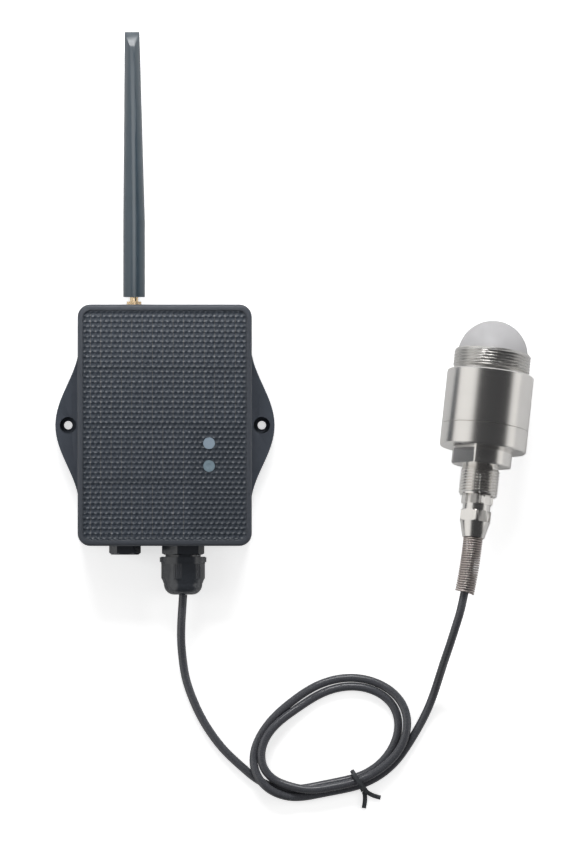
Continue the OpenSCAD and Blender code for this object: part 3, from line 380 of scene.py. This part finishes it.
# Where the strand runs as it goes round: its angle in degrees, then how far it lies outside the
# loop's middle line and above the floor, in diameters of the cable.
STRAND = [
    (203, 1.2, 0.5), (220, 0.35, 0.5), (235, -0.1, 0.5), (250, -0.45, 0.5), (285, -0.35, 0.5),
    (350, -0.35, 0.5), (370, -0.5, 0.5), (420, -0.4, 0.5), (450, -0.72, 0.5), (490, -0.6, 0.5),
    (535, -0.45, 1.3), (555, -0.5, 1.5), (585, -0.6, 1.1), (595, -0.4, 1.25), (605, -0.1, 1.45),
    (612, 0.05, 1.37), (640, 0.12, 1.37), (690, 0.15, 1.37), (704, 0.5, 1.45),
    (716, 0.62, 1.5), (722, 0.62, 1.5), (765, 0.62, 0.5), (785, 0.66, 0.5), (810, 0.42, 0.5),
    (850, 0.5, 0.5), (870, 0.5, 0.5), (885, 0.4, 0.5), (900, 0.25, 0.55), (915, 0.4, 1.05),
    (925, 0.6, 1.45), (935, 0.8, 1.5), (945, 0.85, 1.2), (955, 0.8, 0.85), (965, 0.62, 0.5),
    (975, 0.55, 0.5), (1000, 0.68, 0.5), (1035, 0.72, 0.5), (1047, 0.8, 0.5), (1060, 0.95, 0.5),
    (1076, 1.3, 0.5),
]


def loop_radius(angle):
    """Distance from the loop's centre to its middle line: an ellipse with a three-lobed wave."""
    lobes = 3
    b = math.radians(angle - LOOP_TILT)
    across = math.hypot(LOOP_SHORT * math.cos(b), LOOP_LONG * math.sin(b))
    wave = LOOP_WAVE * math.cos(math.radians(lobes * (angle - LOOP_WAVE_AT)))
    return LOOP_LONG * LOOP_SHORT / across + wave


def loop_point(angle, out, up):
    """A point at an angle round the loop, out from its middle line and up from the floor."""
    r = loop_radius(angle) + out
    a = math.radians(angle)
    return (LOOP_AT.x + r * math.cos(a), LOOP_AT.y + r * math.sin(a), up)


def strand_point(angle):
    """A point of the wound strand; its stations are blended so that it climbs gently."""
    angles, outs, ups = (list(column) for column in zip(*STRAND))
    spread, weights = (-12, -6, 0, 6, 12), (1, 2, 3, 2, 1)

    def blended(values):
        near = [np.interp(angle + s, angles, values) for s in spread]
        return sum(w * value for w, value in zip(weights, near)) / sum(weights)

    return loop_point(angle, blended(outs) * CABLE_D, blended(ups) * CABLE_D)


def curve_through(points, steps):
    """Points of a Catmull-Rom curve, with so many steps from each chosen point to the next."""
    points = np.array(points, float)
    last = len(points) - 1
    line = []
    for i in range(last):
        a, b = points[max(i - 1, 0)], points[i]
        c, d = points[i + 1], points[min(i + 2, last)]
        for f in np.arange(steps) / steps:
            line.append(0.5 * (2 * b + (c - a) * f + (2 * a - 5 * b + 4 * c - d) * f**2
                               + (3 * b - a - 3 * c + d) * f**3))
    return np.array(line + [points[last]])


def evenly(line, count):
    """So many points at equal distances along a line."""
    along = np.r_[0, np.cumsum(np.linalg.norm(np.diff(line, axis=0), axis=1))]
    marks = np.linspace(0, along[-1], count)
    return np.column_stack([np.interp(marks, along, line[:, k]) for k in range(3)])


def sag(line):
    """How each inner point departs from the middle of its neighbours."""
    bend = np.zeros_like(line)
    bend[1:-1] = (line[:-2] + line[2:]) / 2 - line[1:-1]
    return bend


def near_loop(line):
    """1 for points that may move, by the loop, fading to 0 along the two ends."""
    reach, fade = 58 * MM, 10 * MM
    away = np.hypot(line[:, 0] - LOOP_AT.x, line[:, 1] - LOOP_AT.y)
    return np.clip((reach - away) / fade, 0, 1)[:, None]


def settled(line):
    """Pushes strands apart until they only touch, and keeps the line fair and on the floor."""
    rounds, push_share, fair_share = 160, 0.375, 0.35
    gap = CABLE_D * 1.01
    same_strand = 3 * CABLE_D / np.linalg.norm(line[1] - line[0])
    index = np.arange(len(line))
    apart = np.abs(index[:, None] - index[None, :]) > same_strand
    free = near_loop(line)
    for _ in range(rounds):
        offset = line[:, None, :] - line[None, :, :]
        distance = np.linalg.norm(offset, axis=2)
        close = apart & (distance < gap)
        overlap = np.where(close, (gap - distance) / np.maximum(distance, 1e-6), 0)
        push = (overlap[:, :, None] * offset).sum(1) / np.maximum(close.sum(1), 1)[:, None]
        line = line + push_share * free * push
        line = line - fair_share * free * sag(sag(line))
        line[:, 2] = np.maximum(line[:, 2], CABLE_D / 2)
    return line


def make_cable():
    """One cable from the gland's mouth, round the tied loop and into the sensor's spring."""
    loop_angles = range(206, 1072, 10)
    smoothings, count = 12, 460
    chosen = [tuple(c * MM for c in p) for p in LEAD_ROUTE]
    chosen += [strand_point(a) for a in loop_angles]
    chosen += [tuple(c * MM for c in p) for p in TAIL_ROUTE]
    line = curve_through(chosen, 4)
    for _ in range(smoothings):
        line = line + 0.5 * near_loop(line) * sag(line)
    line = settled(evenly(line, count))
    curve = bpy.data.curves.new("cable", "CURVE")
    curve.dimensions = "3D"
    curve.bevel_depth = CABLE_D / 2
    curve.bevel_resolution = 5
    curve.use_fill_caps = True
    spline = curve.splines.new("POLY")
    spline.points.add(len(line) - 1)
    spline.points.foreach_set("co", np.column_stack([line, np.ones(len(line))]).ravel())
    spline.use_smooth = True
    curve.materials.append(MATERIALS["cable_jacket"])
    cable = bpy.data.objects.new("cable", curve)
    bpy.context.scene.collection.objects.link(cable)
    placed(cable, "device", "cable_lead", "cable_coil", "cable_tail")


def make_tie():
    """A flat twist tie round the strands: over them, under them, twisted, and two loose tails."""
    angle = 302  # degrees round the loop
    out = Vector((math.cos(math.radians(angle)), math.sin(math.radians(angle)), 0))
    along = Vector((-out.y, out.x, 0))
    middle = Vector(loop_point(angle, 0, 0))
    # half the width of the bundle, and the tie's highest and lowest middle line, in millimetres
    half, top, low = 5.3, 8.9, 0.7
    corner = 2.1
    # its middle line, in millimetres: out from the strands' middle, along them and up
    wire = [
        (half + 8.5, 5, low), (half + 5.5, 2.4, low + 0.5), (half + 2.6, 0.8, 1.5),
        (half + 0.7, 0.6, 4), (half - 0.2, 0.4, top - corner), (half - corner, 0.2, top),
        (corner - half, 0, top), (-half, 0, top - corner), (-half, 0, 3),
        (corner - half, 0, low), (half - corner, -0.2, low), (half + 0.7, -0.6, low),
        (half + 2.6, -0.8, low),
        (half + 5.5, -2.4, low), (half + 8.5, -5, low),
    ]
    path = [Vector(p) for p in curve_through(
        [middle + (out * a + along * b + Vector((0, 0, c))) * MM for a, b, c in wire], 6)]
    centre = middle + Vector((0, 0, top / 2 * MM))
    # a ribbon with the wire's ridge along its middle
    right_side = [(1.1, -0.2), (1.1, 0.2), (0.45, 0.25)]
    left_side = [(-a, b) for a, b in reversed(right_side)]
    section = [(a * MM, b * MM) for a, b in right_side + [(0, 0.5)] + left_side + [(0, -0.3)]]

    def outward(i):
        away = path[i] - centre
        away -= along * away.dot(along)
        return away if away.dot(out) < half * MM * 1.2 else Vector((0, 0, 1)) + along * 0.3

    placed(swept("twist_tie", path, section, "tie_plastic", outward), "device", "cable_tie")


make_cable()
make_tie()


# ---- solar panel ----

CONTROL_X, CONTROLS_Y = 22.4 * MM, (-9.1 * MM, -20.6 * MM)


def panel_material(width, length):
    """A clear embossed film over rows of dark cells with fine silver fingers."""
    mat, shader, add = new_material("solar_film")
    split = add("SeparateXYZ", {"Vector": object_coords(add)})
    x, y = split.outputs[0], split.outputs[1]

    def maths(operation, a, b=0.0, c=0.0):
        return add("Math", {0: a, 1: b, 2: c}, operation=operation).outputs[0]

    def inside(value, middle, half):
        return maths("COMPARE", value, middle, half)

    rows, edge, gap = 4, 2 * MM, 2.4 * MM
    row = (length - 2 * edge - (rows - 1) * gap) / rows
    full = width / 2 - edge
    short_rows, short_end = 2, 13 * MM  # the rows beside the controls, and where they stop
    cells = 0.0
    for i in range(rows):
        middle = -length / 2 + edge + row / 2 + i * (row + gap)
        low, high = -full, (short_end if i < short_rows else full)
        strip = maths("MULTIPLY", inside(y, middle, row / 2),
                      inside(x, (low + high) / 2, (high - low) / 2))
        cells = maths("ADD", cells, strip)
    finger_pitch, finger_w, finger_at = 5.23 * MM, 0.25 * MM, -32.3 * MM
    from_finger = maths("PINGPONG", maths("SUBTRACT", x, finger_at), finger_pitch / 2)
    fingers = maths("MULTIPLY", maths("LESS_THAN", from_finger, finger_w / 2), cells)
    noise = add("TexNoise", {"Vector": object_coords(add), "Scale": 90.0, "Detail": 4.0})
    board, silver = rgb(0.036, 0.045, 0.059), rgb(0.11, 0.11, 0.11)
    cell = mixed(add, noise.outputs["Fac"], rgb(0.036, 0.046, 0.062), rgb(0.05, 0.061, 0.079))
    base = mixed(add, cells, board, cell)
    for socket, value in (("Base Color", mixed(add, fingers, base, silver)), ("Roughness", 0.42),
                          ("Coat Weight", 0.25), ("Coat Roughness", 0.38)):
        fill(shader, socket, value)
    return mat


def dimple_depth(x, y):
    """Depth, from 0 to 1, of the lens-shaped dimples pressed in staggered rows."""
    pitch, row, stagger = 2.78 * MM, 2.55 * MM, 0.4
    deepest, fullness = 0.25, 0.6
    k = np.round(y / row)
    shift = (k % 2) * stagger * pitch
    across = 2 * ((x - shift + pitch / 2) % pitch - pitch / 2) / pitch
    along = 2 * (y - k * row) / row
    along = (along - deepest) / np.where(along > deepest, 1 - deepest, 1 + deepest)
    return np.maximum(1 - across**2 - along**2, 0) ** fullness


def film_grid(width, length, corner, columns, rows):
    """X and Y of a grid over a rectangle with round corners, and its half width at each row."""
    y = np.linspace(-length / 2, length / 2, rows + 1)[:, None]
    over = np.clip(np.abs(y) - (length / 2 - corner), 0, corner)
    half_width = width / 2 - corner + np.sqrt(np.maximum(corner**2 - over**2, 0))
    x = np.linspace(-1, 1, columns + 1)[None, :] * half_width
    return x, np.repeat(y, columns + 1, 1), half_width


def make_panel():
    """The film: a fine grid pressed into dimples, with round holes for lens and button."""
    width = PANEL_HIGH.x - PANEL_LOW.x
    length = PANEL_HIGH.y - PANEL_LOW.y
    corner, relief, plain_rim = 4 * MM, 0.52 * MM, 0.5 * MM
    hole_r, snap = 3.05 * MM, 0.28 * MM
    columns, rows = 240, 344
    MATERIALS["solar_film"] = panel_material(width, length)
    x, y, half_width = film_grid(width, length, corner, columns, rows)
    for control_y in CONTROLS_Y:
        dx, dy = x - CONTROL_X, y - control_y
        distance = np.hypot(dx, dy)
        near = np.abs(distance - hole_r) < snap
        x = np.where(near, CONTROL_X + dx / distance * hole_r, x)
        y = np.where(near, control_y + dy / distance * hole_r, y)
    inset = np.minimum(half_width - np.abs(x), length / 2 - np.abs(y))
    z = -relief * dimple_depth(x, y) * np.clip(inset / plain_rim, 0, 1)
    points = np.stack([x, y, z], 2).reshape(-1, 3)

    def outside_holes(corners):
        at = points[list(corners)].mean(0)
        return all(math.hypot(at[0] - CONTROL_X, at[1] - y0) > hole_r for y0 in CONTROLS_Y)

    step = columns + 1
    cells = [(j * step + i, j * step + i + 1, (j + 1) * step + i + 1, (j + 1) * step + i)
             for j in range(rows) for i in range(columns)]
    panel = add_mesh("embossed_film", points, [c for c in cells if outside_holes(c)],
                     "solar_film", Matrix.Translation((0, 0, PANEL_HIGH.z)), sharp=80)
    placed(panel, "device", "solar_film")


make_panel()


# ---- sensor head ----


# Where the pieces end along the sensor's axis, and what several of them share, in millimetres.
FRONT, SEAM, REAR, COLLAR, NECK, SPRING = 11, -27.8, -39.1, -47.5, -62.9, -84.3
LENS_SEAT = 4
HEAD_R, HEAD_EDGE, SEAM_EDGE, CHAMFER = 22, 0.6, 0.3, 0.9


def make_front_housing():
    """The threaded ring round the lens, and the smooth body behind it."""
    thread_r, thread_end, under = 19.5, 1.2, -0.3
    root_r, mouth_r, recess_r, chamber_r = thread_r - CHAMFER, 17.7, 18.3, 16.1
    turned("front_thread", "front_housing", [
        (mouth_r, FRONT), (root_r, FRONT), (thread_r, FRONT - CHAMFER),
        (thread_r, thread_end + CHAMFER), (root_r, thread_end), (root_r, under),
        (chamber_r, under), (chamber_r, LENS_SEAT), (mouth_r, LENS_SEAT),
    ], "thread_steel", thread=(thread_end + 0.4, FRONT - 0.4, 0.5))
    lap_r, lap = 19.1, 7.5  # the rear housing's spigot fits in here
    turned("front_body", "front_housing", [
        (recess_r, 0), (HEAD_R - HEAD_EDGE, 0), (HEAD_R, -HEAD_EDGE), (HEAD_R, SEAM + SEAM_EDGE),
        (HEAD_R - SEAM_EDGE, SEAM), (lap_r, SEAM), (lap_r, SEAM + lap), (chamber_r, SEAM + lap),
        (chamber_r, under), (recess_r, under),
    ], "stainless_steel")


def make_rear_housing():
    """The body behind the seam, the collar with its two flats, and the threaded neck."""
    spigot_r, spigot, bore_r, joint_r, sunk = 19, 3, 3, 14, 1
    turned("rear_body", "rear_housing", [
        (bore_r, SEAM + spigot), (spigot_r, SEAM + spigot), (spigot_r, SEAM),
        (HEAD_R - SEAM_EDGE, SEAM), (HEAD_R, SEAM - SEAM_EDGE), (HEAD_R, REAR + HEAD_EDGE),
        (HEAD_R - HEAD_EDGE, REAR), (joint_r, REAR), (joint_r, REAR + sunk),
        (bore_r, REAR + sunk),
    ], "stainless_steel")
    collar_r, inner_r, bevel, across_flats, turn = 15.15, 9, 0.5, 24, 38
    turned("rear_collar", "rear_housing", [
        (joint_r, REAR + sunk), (collar_r, REAR + 0.2), (collar_r, REAR - 0.8),
        (collar_r, COLLAR + bevel), (collar_r - bevel, COLLAR), (inner_r, COLLAR),
        (inner_r, REAR + sunk),
    ], "stainless_steel", steps=240,
        flats=(COLLAR - 0.1, REAR - 0.7, 2, across_flats, turn - 90), start=turn)
    neck_r, neck_bore_r, undercut, hidden = 10, 6.1, 1.6, 0.5
    root_r = neck_r - CHAMFER
    turned("neck", "rear_housing", [
        (root_r, COLLAR + hidden), (root_r, COLLAR - undercut),
        (neck_r, COLLAR - undercut - CHAMFER), (neck_r, NECK + CHAMFER), (root_r, NECK),
        (neck_bore_r, NECK), (neck_bore_r, COLLAR + hidden),
    ], "stainless_steel", thread=(NECK + 0.3, COLLAR - 2.2, 0.7))


def make_sensor_gland():
    """The head's own cable gland: a hexagon on the neck, and a cap that tapers to the spring."""
    hexagon, cap, taper = NECK - 4.5, NECK - 7.7, NECK - 13.4
    hole_r, plug_r, face_r, shank_r, sleeve_r, seal_r = 3, 6, 7.4, 7.05, 6.2, 4.6
    nut_r, bevel, across_flats, turn = 8.37, 0.5, 14.5, 44
    turned("gland_nut", "sensor_gland_body", [
        (hole_r, NECK + 1), (plug_r, NECK + 1), (plug_r, NECK), (face_r, NECK),
        (nut_r, NECK - bevel), (nut_r, hexagon + bevel), (face_r, hexagon), (shank_r, hexagon),
        (shank_r, cap), (sleeve_r, cap), (sleeve_r, taper + 1), (seal_r, taper + 1),
        (seal_r, NECK - 5), (hole_r, NECK - 5),
    ], "stainless_steel", flats=(hexagon - 0.01, NECK + 0.01, 6, across_flats, turn), start=turn)
    bore_r, face_r, cap_r, shoulder_r, taper_r, tip_r = 6.35, 7.8, 8.89, 8.1, 7.55, 5.5
    socket_r, socket, exit_r, across_flats, turn = 5.15, 3.3, 2.5, 15.4, 30
    turned("gland_cap_nut", "sensor_gland_cap", [
        (bore_r, cap), (face_r, cap), (cap_r, cap - 0.6), (cap_r, taper + 0.5),
        (shoulder_r, taper), (taper_r, taper), (taper_r - 0.15, taper - 0.6),
        (tip_r + 0.25, SPRING + 0.3), (tip_r, SPRING), (socket_r, SPRING),
        (socket_r, SPRING + socket), (exit_r, SPRING + socket), (exit_r, taper + 0.8),
        (bore_r, taper + 0.8),
    ], "stainless_steel", flats=(taper - 0.01, cap + 0.01, 6, across_flats, turn), start=turn)


def make_dome():
    """The lens: a cap of a sphere whose centre lies a little behind the thread's front."""
    dome_r, sink, pole_r, steps = 17.7, 1.8, 0.01, 40
    low = math.asin(sink / dome_r)
    arc = [low + (math.pi / 2 - low) * k / steps for k in range(steps + 1)]
    skirt = [(pole_r, LENS_SEAT), (math.sqrt(dome_r**2 - sink**2), LENS_SEAT)]
    turned("dome", "lens_dome", skirt + [
        (max(dome_r * math.cos(a), pole_r), FRONT - sink + dome_r * math.sin(a)) for a in arc
    ], "lens_plastic")


def make_spring():
    """The close-wound spring, bent to the left and down as the cable pulls it."""
    shown, seat, pitch, wire, outer = 28, 3, 1.2, 1.0, 10.1
    bend_r, pull = shown / math.radians(11), math.radians(60)
    toward = Vector((-math.cos(pull), math.sin(pull), 0))

    def bent(s):
        """A point of the spring's bent axis, s beyond the gland's cap."""
        a = max(s, 0) / bend_r
        off = bend_r * (1 - math.cos(a))
        return toward * off + Vector((0, 0, SPRING - (s if s <= 0 else bend_r * math.sin(a))))

    per_turn, near = 28, 0.01
    path, axis = [], []
    for i in range(int((shown + seat) / pitch * per_turn) + 1):
        s, a = i / per_turn * pitch - seat, math.tau * i / per_turn
        t = (bent(s + near) - bent(s - near)).normalized()
        u = t.cross(Vector((1, 0, 0))).normalized()
        out = math.cos(a) * u + math.sin(a) * t.cross(u)
        path.append((bent(s) + (outer - wire) / 2 * out) * MM)
        axis.append(bent(s) * MM)
    coil = swept("relief_spring", path, round_section(wire * MM, 8), "spring_steel",
                 lambda i: path[i] - axis[i], SENSOR)
    placed(coil, "device", "strain_spring")


make_front_housing()
make_rear_housing()
make_sensor_gland()
make_dome()
make_spring()


# ---- enclosure, gland, plug and antenna ----

rounded("back_shell", 0.4 * MM, "shell_plastic")
rounded("front_cover", 0.3 * MM, "cover_plastic")
rounded("gland_body", 0.3 * MM, "gland_plastic")
rounded("gland_cap", 0.12 * MM, "gland_plastic", "gland_nut")
rounded("port_plug", 0.3 * MM, "gland_plastic")
rounded("antenna_whip", 0.3 * MM, "whip_plastic", "antenna", sharp=32)

# the CAD pieces that stay visible keep their meshes and get their finish
for item in frame["record"]["subparts"]:
    obj = frame["nodes"][item["node"]]
    if not obj.hide_render:
        obj.data.materials.clear()
        obj.data.materials.append(MATERIALS[item["material_slot"]])


# ---- floor, lamps and world ----


def make_floor():
    """A white floor that the camera sees lighter than it is lit, with its soft shadows kept.

    Further out, where the lamps fade, it is lifted more, so that low views show no band.
    """
    half, below = 3.0, 0.2 * MM
    lit_to, unlit_from = 0.35, 0.85
    near_lift, far_lift = 0.64, 0.88
    white = rgb(0.86, 0.86, 0.86)
    mesh = bpy.data.meshes.new("floor")
    mesh.from_pydata([(-half, -half, 0), (half, -half, 0), (half, half, 0), (-half, half, 0)], [],
                     [(0, 1, 2, 3)])
    floor = bpy.data.objects.new("floor", mesh)
    floor.location.z = -below
    bpy.context.scene.collection.objects.link(floor)
    mat = bpy.data.materials.new("floor_white")
    mat.use_nodes = True
    mat.node_tree.nodes.clear()
    add = node_adder(mat.node_tree)
    reach = add("VectorMath", {0: object_coords(add)}, operation="LENGTH").outputs["Value"]
    lift = add("MapRange", {"Value": reach, "From Min": lit_to, "From Max": unlit_from,
                            "To Min": near_lift, "To Max": far_lift}).outputs[0]
    seen = add("LightPath").outputs["Is Camera Ray"]
    strength = add("Math", {0: seen, 1: lift}, operation="MULTIPLY").outputs[0]
    glow = add("Emission", {"Strength": strength})
    diffuse = add("BsdfDiffuse", {"Color": white})
    both = add("AddShader", {0: diffuse.outputs[0], 1: glow.outputs[0]})
    add("OutputMaterial", {"Surface": both.outputs[0]})
    mesh.materials.append(mat)


def make_lamp(name, location, size, power, mirrored=True, spread=180, aim=(0.06, -0.02, 0.02)):
    """A softbox aimed at a point; where mirrored is off, glossy surfaces don't show it."""
    data = bpy.data.lights.new(name, "AREA")
    data.shape = "RECTANGLE"
    data.size, data.size_y = size
    data.energy = power
    data.spread = math.radians(spread)
    lamp = bpy.data.objects.new(name, data)
    lamp.location = location
    lamp.visible_glossy = mirrored
    lamp.visible_camera = False
    lamp.rotation_euler = (Vector(aim) - Vector(location)).to_track_quat("-Z", "Y").to_euler()
    bpy.context.scene.collection.objects.link(lamp)


def make_world():
    """A studio in reflections, with white sides and a dark ceiling, and white seen directly."""
    dark, white = rgb(0.055, 0.055, 0.057), rgb(0.98, 0.97, 0.95)
    fill_light, backdrop = rgb(0.22, 0.22, 0.22), rgb(1, 1, 1)
    world = bpy.data.worlds.new("studio")
    bpy.context.scene.world = world
    world.use_nodes = True
    add = node_adder(world.node_tree)
    # how far a direction leans to the right: 0 is overhead, 1 and -1 are level with the floor
    lean = add("SeparateXYZ", {"Vector": add("TexCoord").outputs["Generated"]}).outputs[0]
    right = add("MapRange", {"Value": lean, "From Min": 0.86, "From Max": 0.93}).outputs[0]
    left = add("MapRange", {"Value": lean, "From Min": -0.44, "From Max": -0.6}).outputs[0]
    sides = add("Math", {0: right, 1: left}, operation="MAXIMUM").outputs[0]
    rays = add("LightPath")
    soft = mixed(add, rays.outputs["Is Glossy Ray"], fill_light, mixed(add, sides, dark, white))
    seen = mixed(add, rays.outputs["Is Camera Ray"], soft, backdrop)
    fill(world.node_tree.nodes["Background"], "Color", seen)


make_floor()
make_lamp("key_softbox", (0.02, 0.75, 0.6), (0.6, 0.25), 6.6)
make_lamp("antenna_softbox", (-0.0175, 0.135, 0.2), (0.12, 0.15), 0.016, spread=50,
          aim=(-0.0175, 0.135, 0))
make_lamp("left_softbox", (-0.65, -0.02, 0.65), (0.4, 0.6), 1.4, mirrored=False)
make_lamp("right_softbox", (1.05, 0.0, 0.5), (0.6, 0.35), 2.2, mirrored=False)
make_world()
bpy.context.scene.view_settings.view_transform = "Standard"
